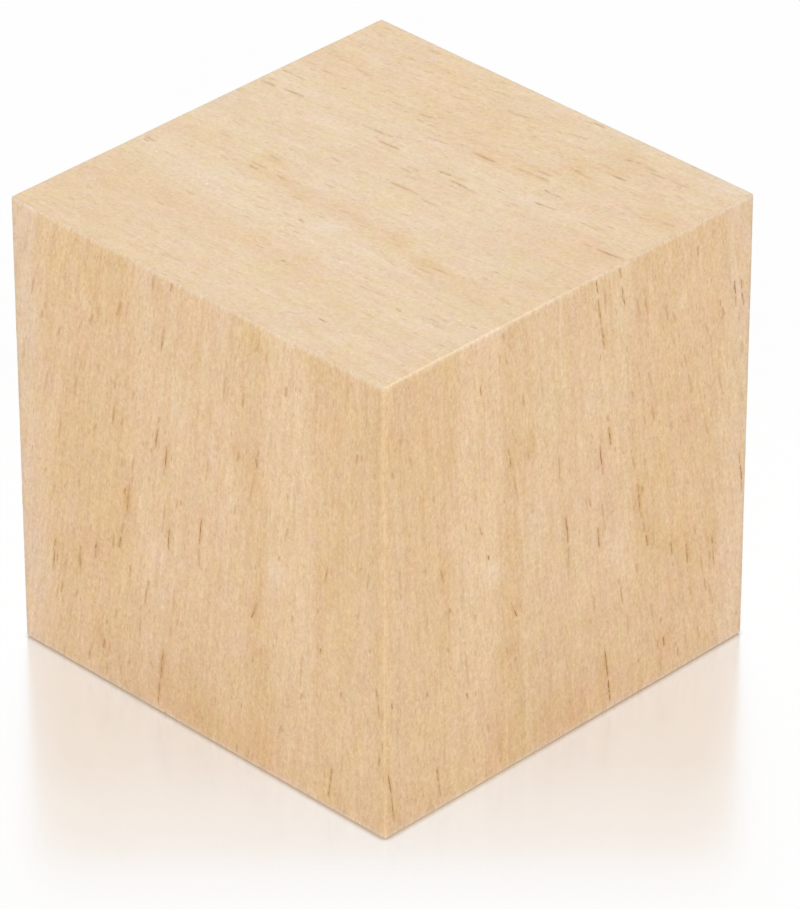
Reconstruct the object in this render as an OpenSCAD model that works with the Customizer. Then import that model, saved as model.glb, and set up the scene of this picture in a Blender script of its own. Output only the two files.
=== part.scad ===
// Solid wooden cube for crafts, models and bench work.
// One block, sawn and sanded on all six faces, with every edge and corner eased.
// It stands on its bottom face: the origin is the centre of that face, +Z is up,
// and the faces look along X, Y and Z.

/* [Block] */
// Width of the block along X
block_w = 30; // [10:0.5:60]
// Depth of the block along Y
block_d = 30; // [10:0.5:60]
// Height of the block along Z
block_h = 30; // [10:0.5:60]

/* [Sanding] */
// Radius that sanding leaves on the edges and corners
edge_r = 0.15; // [0.1:0.05:2]

/* [Colour] */
// Colour of the bare wood
wood_colour = "BurlyWood"; // [BurlyWood, Wheat, Tan, NavajoWhite]

/* [Hidden] */

// Segments round a full turn of an edge or a corner
round_fn = 48;

// Distances from the block's middle to the lines where the easing starts
flat_x = block_w / 2 - edge_r;
flat_y = block_d / 2 - edge_r;
flat_z = block_h / 2 - edge_r;

// The two ends of a span about the middle
ENDS = [-1, 1];

// A box of the given size about the middle
module slab(size) {
    cube(size, center = true);
}

// A rounded edge that runs along Z between two corners
module edge_z(length) {
    cylinder(h = length, r = edge_r, center = true, $fn = round_fn);
}

// The four rounded edges along X
module edges_along_x() {
    for (y = ENDS, z = ENDS)
        translate([0, y * flat_y, z * flat_z])
            rotate([0, 90, 0]) edge_z(2 * flat_x);
}

// The four rounded edges along Y
module edges_along_y() {
    for (x = ENDS, z = ENDS)
        translate([x * flat_x, 0, z * flat_z])
            rotate([90, 0, 0]) edge_z(2 * flat_y);
}

// The four rounded edges along Z
module edges_along_z() {
    for (x = ENDS, y = ENDS)
        translate([x * flat_x, y * flat_y, 0])
            edge_z(2 * flat_z);
}

// The eight rounded corners
module corners() {
    for (x = ENDS, y = ENDS, z = ENDS)
        translate([x * flat_x, y * flat_y, z * flat_z])
            sphere(r = edge_r, $fn = round_fn);
}

// The whole block, standing on its bottom face
module block() {
    color(wood_colour)
        translate([0, 0, block_h / 2]) {
            slab([block_w, 2 * flat_y, 2 * flat_z]);
            slab([2 * flat_x, block_d, 2 * flat_z]);
            slab([2 * flat_x, 2 * flat_y, block_h]);
            edges_along_x();
            edges_along_y();
            edges_along_z();
            corners();
        }
}

block();  // cube
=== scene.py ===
"""Finishes a small wooden cube: a sanded block with open vessel lines, on a white studio floor."""

import math
import random

import bmesh
import bpy
from bpy.props import (
    FloatProperty,
    FloatVectorProperty,
    IntProperty,
    PointerProperty,
)
from mathutils import Matrix, Vector, noise


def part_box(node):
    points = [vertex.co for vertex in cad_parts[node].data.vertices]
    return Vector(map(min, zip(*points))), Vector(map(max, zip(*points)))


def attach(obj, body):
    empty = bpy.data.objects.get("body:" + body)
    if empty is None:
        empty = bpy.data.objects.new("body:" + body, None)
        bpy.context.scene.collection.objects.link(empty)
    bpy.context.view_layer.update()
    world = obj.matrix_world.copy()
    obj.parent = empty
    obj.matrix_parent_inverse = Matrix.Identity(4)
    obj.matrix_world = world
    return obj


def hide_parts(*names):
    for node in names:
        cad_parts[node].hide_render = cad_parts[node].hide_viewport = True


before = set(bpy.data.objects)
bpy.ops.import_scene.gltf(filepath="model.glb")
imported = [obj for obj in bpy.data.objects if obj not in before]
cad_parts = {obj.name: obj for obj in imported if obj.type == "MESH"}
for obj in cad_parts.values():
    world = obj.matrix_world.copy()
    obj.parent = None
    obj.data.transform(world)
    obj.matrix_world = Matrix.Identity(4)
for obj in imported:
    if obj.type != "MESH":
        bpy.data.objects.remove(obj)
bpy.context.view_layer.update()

bl_info = {
    "name": "Wooden cube",
    "version": (1, 0, 0),
    "blender": (4, 5, 0),
    "location": "3D View > Sidebar > Wooden cube",
    "description": "Builds a sanded wooden cube with its grain, and a white stage to show it on",
    "category": "Add Mesh",
}

# The boxes of the whole solid model and of its block, in metres
LOW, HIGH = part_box("cube")
SIZE = HIGH - LOW
CENTRE = (LOW + HIGH) / 2
MM = 0.001
FACE_MM = SIZE.x / MM

# ---------------------------------------------------------------------------
# The figure of the wood. One face of it is described once, in millimetres:
# "across" runs from one edge to the other and "down" runs along the grain.
# The sides wrap round the block as mirror images about its upright edges, but
# for a few lines and the finest grain. The right and left, which look along X,
# are the turned ones. The top and bottom are the level faces: they hold the same
# bands and patches laid over, with their grain along X, and lines of their own.
# ---------------------------------------------------------------------------

# How far a stray fibre drifts across for each millimetre that it runs down, and the
# same for the others, at one edge of the figure and for each millimetre from it
LEAN = 0.15
FIBRE_LEAN = 0.05
FIBRE_SPREAD = 0.005

# Vessel lines of a side: across and down at the upper end of each, and at its lower end
DEEP_LINES = [
    (17.4, 3.5, 17.7, 5.15), (10.0, 8.9, 10.1, 9.6), (18.1, 10.4, 18.35, 11.8),
    (17.4, 11.3, 17.6, 12.9), (14.65, 14.9, 14.9, 16.9), (17.35, 16.8, 17.5, 18.4),
    (20.75, 16.0, 20.9, 17.3), (21.45, 19.2, 21.65, 20.1), (25.0, 21.9, 25.1, 22.9),
    (27.15, 21.9, 27.25, 22.5), (23.1, 27.0, 23.25, 27.8), (23.6, 20.7, 23.7, 21.1),
    (18.1, 25.6, 18.45, 27.8), (18.45, 27.85, 18.65, 29.5), (4.22, 27.1, 4.38, 28.15),
]
MIDDLING_LINES = [
    (20.95, 3.2, 21.25, 4.3), (27.3, 5.9, 27.4, 6.4), (27.55, 6.5, 27.75, 7.2),
    (14.9, 17.0, 14.95, 18.5), (7.6, 12.4, 7.8, 13.1), (8.3, 14.6, 8.4, 15.0),
    (5.05, 19.3, 5.15, 19.7), (10.45, 19.3, 10.7, 19.9), (21.05, 11.0, 21.2, 11.6),
    (21.75, 10.6, 21.95, 11.8), (18.0, 9.6, 18.1, 10.1), (17.65, 12.9, 17.7, 13.4),
    (16.6, 14.5, 16.75, 15.2), (17.65, 15.4, 17.85, 16.5), (21.0, 15.7, 21.1, 16.2),
    (20.65, 15.3, 20.75, 16.0), (21.2, 18.2, 21.4, 19.0), (3.4, 21.5, 3.5, 21.9),
    (10.6, 22.6, 10.65, 22.9), (8.35, 26.1, 8.5, 26.8), (20.7, 20.8, 20.8, 21.7),
    (23.7, 21.1, 23.75, 21.7), (19.35, 21.7, 19.6, 23.2), (27.25, 22.7, 27.45, 24.2),
    (27.0, 22.9, 27.1, 23.5), (26.6, 24.6, 26.85, 25.6), (22.85, 25.6, 22.95, 26.0),
    (21.0, 27.6, 21.05, 27.9), (24.95, 21.4, 25.0, 21.9), (11.0, 5.0, 11.15, 6.1),
    (9.9, 8.3, 10.0, 8.8), (25.0, 10.8, 25.1, 11.2), (5.2, 16.7, 5.3, 17.1),
    (6.6, 23.1, 6.75, 23.6), (19.2, 21.2, 19.3, 21.7), (7.55, 3.1, 7.7, 3.9),
    (11.5, 9.1, 11.6, 9.8), (4.38, 28.2, 4.55, 29.3), (24.4, 28.4, 24.5, 29.1),
]
FAINT_LINES = [
    (12.45, 4.5, 12.7, 6.5), (9.1, 1.7, 9.2, 2.3), (9.7, 1.2, 10.0, 1.9), (2.0, 5.2, 2.2, 5.9),
    (0.7, 5.7, 0.75, 6.2), (3.9, 8.7, 3.95, 9.2), (20.3, 2.9, 20.55, 4.2), (22.75, 4.3, 22.95, 5.4),
    (23.3, 5.0, 23.6, 5.9), (26.1, 7.0, 26.4, 7.8), (10.3, 10.2, 10.75, 12.3),
    (1.2, 12.4, 1.35, 13.8), (4.4, 13.6, 4.75, 14.8), (7.3, 18.1, 7.4, 18.7),
    (24.8, 9.8, 25.05, 10.8), (24.4, 8.3, 24.6, 9.3), (27.3, 9.3, 27.5, 9.9),
    (27.3, 10.5, 27.8, 12.5), (21.4, 8.2, 21.5, 8.6), (20.0, 8.8, 20.2, 9.4),
    (18.65, 12.0, 18.75, 12.4), (23.3, 12.3, 23.5, 12.9), (24.9, 16.9, 25.0, 17.4),
    (20.9, 17.3, 21.1, 17.9), (17.85, 16.5, 18.0, 17.4), (6.5, 20.2, 6.8, 22.8),
    (17.1, 21.3, 17.2, 22.5), (16.8, 22.8, 16.9, 23.3), (22.0, 24.4, 22.2, 25.2),
    (20.0, 24.0, 20.1, 25.5), (21.75, 28.2, 21.8, 29.0), (22.9, 28.5, 23.05, 29.5),
    (10.2, 18.6, 10.45, 19.3), (29.3, 9.5, 29.4, 10.5), (16.3, 14.4, 16.4, 14.9),
    (11.8, 12.7, 11.95, 13.5), (9.85, 21.5, 10.0, 22.1), (14.0, 10.6, 14.1, 11.8),
    (20.2, 13.3, 20.4, 14.3), (21.15, 13.8, 21.3, 14.5), (24.2, 27.9, 24.35, 28.4),
    (26.2, 22.9, 26.45, 24.2), (26.95, 25.0, 27.25, 26.1), (25.3, 24.6, 25.5, 25.2),
    (22.65, 27.1, 22.75, 27.8), (24.1, 8.7, 24.3, 9.2),
    (21.55, 8.6, 21.7, 9.4), (22.05, 19.2, 22.2, 20.3), (26.25, 13.2, 26.6, 14.8),
    (27.0, 17.9, 27.2, 18.9),
]
# Those that only the right and the left have
TURNED_DEEP_LINES = [
    (0.3, 25.6, 0.55, 27.1), (17.05, 1.5, 17.35, 3.4), (19.0, 1.5, 19.3, 3.0),
    (28.5, 5.1, 28.65, 6.2), (29.1, 5.3, 29.2, 6.0), (29.2, 6.2, 29.4, 7.2),
    (29.5, 18.0, 29.65, 19.2),
]
TURNED_LINES = [
    (0.55, 27.2, 0.8, 29.2), (9.35, 0.5, 9.5, 1.0), (0.6, 20.9, 0.65, 21.4),
    (16.85, 0.2, 17.0, 1.2), (17.6, 1.2, 17.75, 2.5), (18.75, 0.2, 18.95, 1.0),
    (25.3, 1.5, 25.4, 2.3), (28.65, 6.2, 28.7, 7.0), (29.35, 17.1, 29.5, 18.0),
    (29.6, 19.1, 29.65, 20.0),
]
# Those that only the front and the back have
UNTURNED_LINES = [
    (0.7, 19.9, 0.55, 20.9), (0.55, 20.9, 0.4, 21.9), (0.15, 23.3, 0.2, 24.1),
    (0.4, 24.5, 0.5, 25.2), (12.0, 29.2, 12.1, 29.8), (18.1, 0.2, 18.35, 1.6),
    (16.7, 0.2, 16.8, 0.9), (28.25, 4.6, 28.5, 5.9),
]
# Those of the top, from its back and from its left at the two ends of each. The bottom
# has them too, from its front and from its right.
LEVEL_DEEP_LINES = [
    (0.85, 4.6, 0.8, 5.6), (8.65, 0.3, 8.6, 1.1), (10.45, 0.3, 10.3, 1.5), (10.2, 2.0, 10.05, 3.6),
    (9.97, 9.2, 9.93, 10.1), (10.7, 10.25, 10.6, 12.0), (13.65, 14.2, 13.55, 16.0),
    (7.85, 15.2, 7.8, 17.0), (4.2, 22.7, 4.1, 23.8), (6.15, 28.5, 6.0, 29.3), (9.55, 21.7, 9.45, 22.5),
    (10.8, 15.2, 10.7, 16.3), (11.1, 16.5, 11.12, 18.0), (10.9, 27.8, 10.72, 29.8),
    (17.95, 7.1, 18.0, 7.8), (19.85, 0.3, 19.8, 1.3), (24.25, 16.1, 24.2, 16.4),
    (23.45, 24.4, 23.55, 24.9), (21.95, 28.7, 21.9, 29.2), (8.15, 21.1, 8.2, 21.7),
]
LEVEL_MIDDLING_LINES = [
    (2.3, 22.0, 2.25, 22.5), (2.15, 22.7, 2.1, 23.1), (2.2, 23.4, 2.1, 24.4), (2.45, 24.1, 2.4, 25.2),
    (2.3, 25.5, 2.2, 27.0), (2.55, 26.2, 2.5, 26.6), (7.5, 18.1, 7.3, 19.6), (7.3, 19.6, 7.3, 20.8),
    (6.8, 19.3, 6.7, 20.4), (7.0, 2.0, 6.95, 2.8), (6.8, 9.7, 6.65, 10.7), (10.05, 8.3, 10.0, 9.1),
    (9.9, 10.1, 9.8, 10.7), (8.5, 12.0, 8.15, 13.5), (8.2, 21.7, 8.1, 22.5), (9.45, 22.4, 9.3, 23.3),
    (11.0, 26.9, 10.95, 27.6), (11.15, 17.9, 11.15, 18.7), (10.7, 16.2, 10.65, 17.4),
    (11.7, 13.7, 11.65, 14.5), (12.15, 13.5, 12.05, 14.4), (13.6, 15.8, 13.55, 16.5),
    (13.8, 16.8, 13.8, 18.3), (14.0, 9.7, 14.1, 10.6), (16.3, 7.0, 16.4, 8.0),
    (16.45, 11.7, 16.4, 12.5), (17.6, 6.9, 17.5, 8.1), (17.65, 9.0, 17.8, 9.9), (20.1, 0.5, 20.1, 1.0),
    (19.5, 22.0, 19.4, 23.3), (20.3, 13.5, 20.4, 14.0), (27.2, 22.1, 27.25, 22.8),
    (27.7, 2.4, 27.75, 2.9), (24.55, 6.2, 24.6, 7.0), (0.45, 17.7, 0.45, 18.7),
]
LEVEL_FAINT_LINES = [
    (1.9, 10.4, 1.55, 12.1), (2.95, 12.9, 2.7, 14.8), (3.4, 1.3, 3.45, 1.7), (2.9, 6.2, 2.75, 7.0),
    (3.9, 9.6, 3.8, 10.5), (4.1, 8.1, 4.1, 8.7), (5.3, 1.7, 5.3, 2.5), (5.6, 3.3, 5.5, 4.3),
    (6.15, 6.3, 6.1, 7.1), (6.9, 7.6, 6.8, 8.5), (7.0, 0.4, 6.9, 1.4), (7.3, 10.1, 7.35, 10.7),
    (7.5, 13.0, 7.4, 13.5), (8.6, 1.1, 8.6, 2.3), (9.9, 0.4, 9.85, 1.0), (15.0, 2.6, 15.05, 3.6),
    (2.4, 17.6, 2.1, 19.0), (3.8, 21.1, 3.7, 22.4), (4.5, 19.5, 4.3, 20.1), (3.85, 26.1, 3.85, 26.7),
    (5.35, 20.9, 5.4, 22.2), (6.5, 25.6, 6.3, 26.2), (6.2, 27.0, 6.3, 27.4), (7.0, 26.0, 6.95, 26.4),
    (6.5, 29.1, 6.4, 29.6), (4.2, 22.3, 4.2, 22.8), (16.5, 3.1, 16.45, 4.0), (17.5, 10.0, 17.45, 10.8),
    (18.0, 14.4, 17.85, 15.1), (18.3, 5.1, 18.4, 5.8), (18.7, 11.3, 18.7, 12.4),
    (21.0, 10.6, 20.75, 11.7), (20.4, 12.3, 20.5, 12.9), (22.6, 6.7, 22.5, 7.4), (26.1, 2.1, 26.1, 2.7),
    (28.6, 1.0, 28.6, 1.4), (28.4, 10.7, 28.3, 12.3), (18.9, 22.7, 18.8, 24.0),
    (19.6, 19.3, 19.7, 19.7), (21.9, 17.7, 21.9, 18.6), (23.2, 21.1, 23.0, 23.0),
    (24.9, 19.3, 24.8, 19.8), (25.1, 23.7, 25.1, 24.3), (18.5, 19.5, 18.5, 19.9),
    (28.0, 20.3, 27.7, 21.1), (18.6, 27.7, 18.8, 28.7), (9.4, 25.1, 9.3, 26.6), (1.85, 15.1, 1.8, 15.7),
]
# How far those lie from the places listed
LEVEL_OFFSET = (-0.02, 0.05)

# The upright faces and the level ones
SIDES = ("right", "front", "left", "back")
LEVEL = ("top", "bottom")
# The kinds of line: the faces that have them, the lines, their width and depth, and the
# width of the trough that they lie in, all in millimetres
LINE_KINDS = (
    (SIDES, DEEP_LINES, 0.130, 0.034, 0.40),
    (SIDES, MIDDLING_LINES, 0.105, 0.023, 0.32),
    (SIDES, FAINT_LINES, 0.110, 0.017, 0.28),
    (("right", "left"), TURNED_DEEP_LINES, 0.130, 0.034, 0.40),
    (("right", "left"), TURNED_LINES, 0.110, 0.024, 0.34),
    (("front", "back"), UNTURNED_LINES, 0.110, 0.024, 0.34),
    (LEVEL, LEVEL_DEEP_LINES, 0.150, 0.030, 0.40),
    (LEVEL, LEVEL_MIDDLING_LINES, 0.125, 0.022, 0.32),
    (LEVEL, LEVEL_FAINT_LINES, 0.120, 0.016, 0.28),
)
# How much the lines vary in width and depth
LINE_SPREAD = 0.15
# The depth of the stained troughs, and how much longer than the line they are
TROUGH_DEPTH = 0.010
TROUGH_STRETCH = 1.15
# How deep a point of a line lies where the line is darkest
FULL_DEPTH = 0.026

# Soft patches of paler or darker wood: across, down, half width, half length and strength
PATCHES = [
    (2.5, 4.0, 3.2, 6.0, -0.35),
    (4.9, 14.5, 0.8, 2.2, -0.35),
    (3.5, 25.0, 2.5, 4.5, 0.25),
    (10.3, 9.6, 0.7, 1.6, -0.6),
    (11.6, 9.0, 0.5, 0.8, -0.8),
    (10.0, 15.0, 1.2, 4.0, -0.2),
    (10.5, 19.3, 0.7, 1.0, -0.6),
    (10.2, 22.0, 1.0, 0.8, -0.5),
    (8.7, 15.8, 0.9, 0.8, 1.0),
    (12.3, 12.0, 0.8, 3.0, 0.2),
    (14.6, 16.0, 0.4, 1.6, -0.3),
    (16.6, 8.0, 0.6, 1.8, 0.5),
    (18.8, 18.8, 0.9, 2.0, 0.4),
    (17.4, 12.2, 0.4, 1.3, -0.4),
    (17.4, 17.0, 0.4, 1.4, -0.4),
    (18.2, 10.6, 0.4, 1.4, -0.3),
    (20.8, 16.4, 0.6, 1.0, -0.8),
    (21.6, 11.2, 0.6, 1.3, -0.4),
    (21.6, 19.0, 0.7, 1.2, -0.4),
    (23.7, 14.5, 2.4, 3.2, -0.2),
    (23.8, 20.8, 0.8, 0.9, -0.6),
    (25.1, 22.4, 0.6, 1.0, -0.5),
    (27.1, 22.0, 0.6, 1.2, -0.7),
    (24.0, 4.6, 0.5, 0.7, 0.8),
    (20.9, 3.6, 0.6, 0.8, -0.4),
    (23.4, 3.4, 0.6, 1.0, -0.3),
    (18.1, 27.2, 0.5, 1.6, -0.6),
    (23.1, 27.2, 0.8, 0.9, -0.6),
    (14.5, 28.5, 4.0, 1.6, -0.3),
    (17.6, 1.2, 0.35, 0.8, -0.5),
    (20.8, 0.8, 0.3, 0.7, -0.5),
    (5.4, 17.3, 0.4, 0.6, -0.4),
    (0.6, 21.9, 0.4, 0.8, -0.5),
]
# Patches that only the top and bottom have: from the top's front and from its left, and
# then as above
LEVEL_PATCHES = [
    (13.6, 7.2, 0.4, 0.7, -0.9),
    (12.1, 7.3, 0.3, 0.5, -0.9),
    (12.4, 18.6, 0.8, 2.0, -0.4),
    (11.6, 19.6, 0.5, 0.7, -0.5),
    (11.2, 22.3, 0.8, 0.9, -0.7),
    (10.4, 25.8, 0.8, 2.0, -0.6),
    (5.9, 11.5, 0.7, 6.5, -0.4),
    (17.0, 25.0, 2.0, 4.0, -0.4),
    (8.0, 25.0, 1.5, 4.0, -0.4),
    (4.0, 23.0, 0.8, 2.0, -0.3),
    (1.5, 4.0, 0.6, 4.0, -0.5),
    (27.2, 22.6, 0.8, 1.4, -0.6),
    (24.8, 20.8, 0.5, 1.0, -0.6),
    (22.4, 16.0, 0.5, 1.0, -0.8),
    (24.5, 13.8, 1.4, 1.2, -0.4),
    (23.9, 28.6, 1.2, 1.6, -0.8),
    (19.2, 28.4, 0.8, 1.8, -0.5),
    (9.4, 6.0, 1.0, 6.0, 0.4),
    (9.8, 14.9, 0.8, 0.8, 0.7),
    (12.4, 9.2, 0.3, 0.5, -0.7),
    (11.4, 11.8, 0.4, 0.6, -0.6),
    (12.1, 12.0, 0.35, 0.9, -0.35),
    (5.9, 12.0, 0.45, 1.8, -0.35),
    (5.7, 17.0, 0.5, 1.3, -0.55),
    (11.9, 16.2, 0.4, 0.9, -0.4),
    (7.2, 1.7, 0.6, 1.4, -0.5),
    (4.5, 22.8, 0.4, 1.6, -0.3),
    (26.0, 27.0, 4.0, 4.0, -0.35),
]

# The figure on the top and bottom is sheared and a little longer: its place there
# follows from its place on a side as across + TOP_SHIFT - TOP_SHEAR * down, and
# down * TOP_STRETCH - TOP_START.
TOP_SHIFT = 2.45
TOP_SHEAR = 0.057
TOP_STRETCH = 1.08
TOP_START = 1.6


class BlockSettings(bpy.types.PropertyGroup):
    """Sizes of the block's own finish"""

    easing: FloatProperty(
        name="Edge easing",
        description="Radius that sanding leaves on the edges",
        default=0.15 * MM,
        unit="LENGTH",
        precision=5,
    )
    easing_spread: FloatProperty(
        name="Easing spread",
        description="How much that radius changes along an edge, as a share of it",
        default=0.35,
    )
    easing_steps: IntProperty(
        name="Easing steps",
        description="Strips of faces round each eased edge",
        default=6,
    )
    face_steps: IntProperty(
        name="Face steps",
        description="Squares along each side of a face",
        default=48,
    )
    hollow: FloatProperty(
        name="Sanding hollows",
        description="Depth of the shallow hollows that sanding leaves in the softer wood",
        default=0.012 * MM,
        unit="LENGTH",
        precision=6,
    )
    seed: IntProperty(
        name="Seed",
        description="Start of the random draws",
        default=7,
    )


class WoodSettings(bpy.types.PropertyGroup):
    """Colours and finish of the bare wood"""

    pale: FloatVectorProperty(
        name="Pale wood",
        description="Colour of the palest bands",
        subtype="COLOR",
        default=(0.808, 0.600, 0.396),
    )
    tan: FloatVectorProperty(
        name="Tan wood",
        description="Colour of the darkest bands",
        subtype="COLOR",
        default=(0.642, 0.388, 0.163),
    )
    vessel: FloatVectorProperty(
        name="Vessel lines",
        description="Colour inside an open vessel line",
        subtype="COLOR",
        default=(0.36, 0.17, 0.045),
    )
    tone: FloatProperty(
        name="Tone",
        description="Where the middling wood lies between tan, at 0, and pale, at 1",
        subtype="FACTOR",
        default=0.57,
        min=0.0,
        max=1.0,
    )
    contrast: FloatProperty(
        name="Contrast",
        description="How far a full step of tone moves the colour from tan to pale",
        default=0.286,
    )
    fine_contrast: FloatProperty(
        name="Fine contrast",
        description="How strongly the finest fibres lighten and darken the colour",
        default=1.0,
    )
    roughness: FloatProperty(
        name="Roughness",
        description="Roughness of the sanded surface",
        subtype="FACTOR",
        default=0.6,
        min=0.0,
        max=1.0,
    )
    relief: FloatProperty(
        name="Fibre relief",
        description="Height of the raised fibres",
        default=0.0007 * MM,
        unit="LENGTH",
        precision=6,
    )


class StageSettings(bpy.types.PropertyGroup):
    """Camera, floor and lamps"""

    azimuth: FloatProperty(
        name="Azimuth",
        description="Direction that the camera looks from, turned from the front",
        subtype="ANGLE",
        default=math.radians(44.776),
    )
    elevation: FloatProperty(
        name="Elevation",
        description="Height of the camera above the horizon",
        subtype="ANGLE",
        default=math.radians(31.958),
    )
    distance: FloatProperty(
        name="Distance",
        description="Distance from the camera to what it looks at",
        default=0.39337,
        unit="LENGTH",
    )
    roll: FloatProperty(
        name="Roll",
        description="Turn of the camera about its own line of sight",
        subtype="ANGLE",
        default=math.radians(-0.089),
    )
    lens: FloatProperty(
        name="Lens",
        description="Focal length in millimetres, for a 36 mm sensor",
        default=267.8,
    )
    aside: FloatProperty(
        name="Aside",
        description="How far right of the block's middle the camera looks",
        default=0.981 * MM,
        unit="LENGTH",
    )
    above: FloatProperty(
        name="Above",
        description="How far above the block's middle the camera looks",
        default=-2.089 * MM,
        unit="LENGTH",
    )
    floor_size: FloatProperty(
        name="Floor size",
        description="Side of the square floor",
        default=3.0,
        unit="LENGTH",
    )
    sky: FloatProperty(
        name="Sky",
        description="Strength of the soft light from all round",
        default=0.70,
    )
    softbox: FloatProperty(
        name="Softboxes",
        description="Power of each softbox",
        default=4.2,
    )


# ---------------------------------------------------------------------------
# The six faces
# ---------------------------------------------------------------------------


class Face:
    """One face of the block, and how the figure lies on it."""

    def __init__(self, name, outward, across, down):
        self.name = name
        self.outward = Vector(outward)
        self.across = Vector(across)
        self.down = Vector(down)

    def place(self, across, down):
        """The point of the face at this place, in metres."""
        half = FACE_MM / 2
        flat = (across - half) * self.across + (down - half) * self.down
        return CENTRE + (flat + half * self.outward) * MM


FACES = [
    Face("right", (1, 0, 0), (0, 1, 0), (0, 0, -1)),
    Face("front", (0, -1, 0), (-1, 0, 0), (0, 0, -1)),
    Face("left", (-1, 0, 0), (0, -1, 0), (0, 0, 1)),
    Face("back", (0, 1, 0), (1, 0, 0), (0, 0, 1)),
    Face("top", (0, 0, 1), (0, -1, 0), (1, 0, 0)),
    Face("bottom", (0, 0, -1), (0, 1, 0), (-1, 0, 0)),
]


def face_of(point):
    """The face that a point of the surface lies on, or nearest to."""
    out = point - CENTRE
    return max(FACES, key=lambda face: out.dot(face.outward))


def wander(point, scale, start=0.0):
    """Smooth noise from about -1 to 1 that changes over a length of scale metres."""
    return noise.noise(point / scale + Vector((start, start, start)))


# ---------------------------------------------------------------------------
# The block
# ---------------------------------------------------------------------------

# The easing of an edge as a share of the usual one, at its widest and its least
WIDEST_EASING = 3.0
LEAST_EASING = 0.6
# How much more the upper front edge is eased than the others, and how far from
# the edge and from its ends that fades, in millimetres
FRONT_EASING = 1.4
FRONT_REACH = 1.0
END_REACH = 5.0
# The noises that the easing varies by along an edge: the length of each, its start and
# its strength
WEAR = (
    (9 * MM, 3.1, 1.0),
    (1.7 * MM, 8.7, 0.4),
)
# Length of a sanding hollow across the grain, and how much longer it is along it
HOLLOW_ACROSS = 2.2 * MM
HOLLOW_STRETCH = 4
# The attribute that holds how deep a point lies under its face, in millimetres
DEPTH = "depth"
# The least angle between two faces that shows as a sharp edge
SHARP_ANGLE = math.radians(30)


def block_shell(settings):
    """A bmesh of the block: eased edges, and faces cut into even squares."""
    shell = bmesh.new()
    whole = Matrix.Translation(CENTRE) @ Matrix.Diagonal(SIZE.to_4d())
    bmesh.ops.create_cube(shell, size=1.0, matrix=whole)
    bmesh.ops.bevel(
        shell,
        geom=shell.edges[:],
        offset=settings.easing * WIDEST_EASING,
        affect="EDGES",
        segments=settings.easing_steps,
        profile=0.5,
        material=-1,
    )
    long_edges = [edge for edge in shell.edges if edge.calc_length() > SIZE.x / 2]
    cuts = settings.face_steps - 1
    bmesh.ops.subdivide_edges(shell, edges=long_edges, cuts=cuts, use_grid_fill=True)
    return shell


def front_wear(point):
    """How much more the upper front edge is eased at a point, as a share of the usual easing."""
    out = (point - CENTRE) / MM
    half = FACE_MM / 2
    away = math.hypot(out.y + half, out.z - half)
    near = max(0.0, 1 - away / FRONT_REACH)
    inside = min(1.0, (half - abs(out.x)) / END_REACH)
    return FRONT_EASING * near * inside


def ease(shell, settings):
    """Gives each edge its own wear along its length."""
    widest = settings.easing * WIDEST_EASING
    least = settings.easing * LEAST_EASING
    flat_half = SIZE / 2 - Vector((widest, widest, widest))
    tiny = widest / 1000
    for vertex in shell.verts:
        out = vertex.co - CENTRE
        core = Vector([max(-h, min(h, c)) for c, h in zip(out, flat_half)])
        normal = (out - core).normalized()
        rounded = [axis for axis in range(3) if abs(out[axis] - core[axis]) > tiny]
        if len(rounded) < 2:
            continue
        wear = sum(strength * wander(vertex.co, scale, start) for scale, start, strength in WEAR)
        share = 1 + settings.easing_spread * wear + front_wear(vertex.co)
        easing = max(least, min(widest, settings.easing * share))
        for axis in rounded:
            core[axis] = math.copysign(SIZE[axis] / 2 - easing, core[axis])
        vertex.co = CENTRE + core + normal * easing


def hollow(mesh, settings):
    """Notes how deep each point lies under its face, then adds the shallow sanding hollows."""
    depths = mesh.attributes.new(DEPTH, "FLOAT", "POINT")
    half = FACE_MM / 2
    for vertex, depth in zip(mesh.vertices, depths.data):
        out = vertex.co - CENTRE
        face = face_of(vertex.co)
        depth.value = half - out.dot(face.outward) / MM
        stretched = Vector(
            (
                out.dot(face.across),
                out.dot(face.down) / HOLLOW_STRETCH,
                out.dot(face.outward),
            )
        )
        drop = settings.hollow * (0.5 + 0.5 * wander(stretched, HOLLOW_ACROSS))
        vertex.co -= out.normalized() * drop


# ---------------------------------------------------------------------------
# Vessel lines
# ---------------------------------------------------------------------------

# The spindle that a line is cut with: its faces round and along, and how much fuller it
# is towards its ends than a ball that is drawn out
SPINDLE_SIDES = 8
SPINDLE_STEPS = 6
SPINDLE_FULLNESS = 0.6
# How far a line bends aside, over what length, and the start of that noise
BEND = 0.04 * MM
BEND_LENGTH = 0.8 * MM
BEND_START = 5.0
# How far apart two cuts of a set lie at least, in millimetres
CUT_GAP = 0.12
# The block's material slot for the inside of the lines
LINE_SLOT = 1


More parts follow.
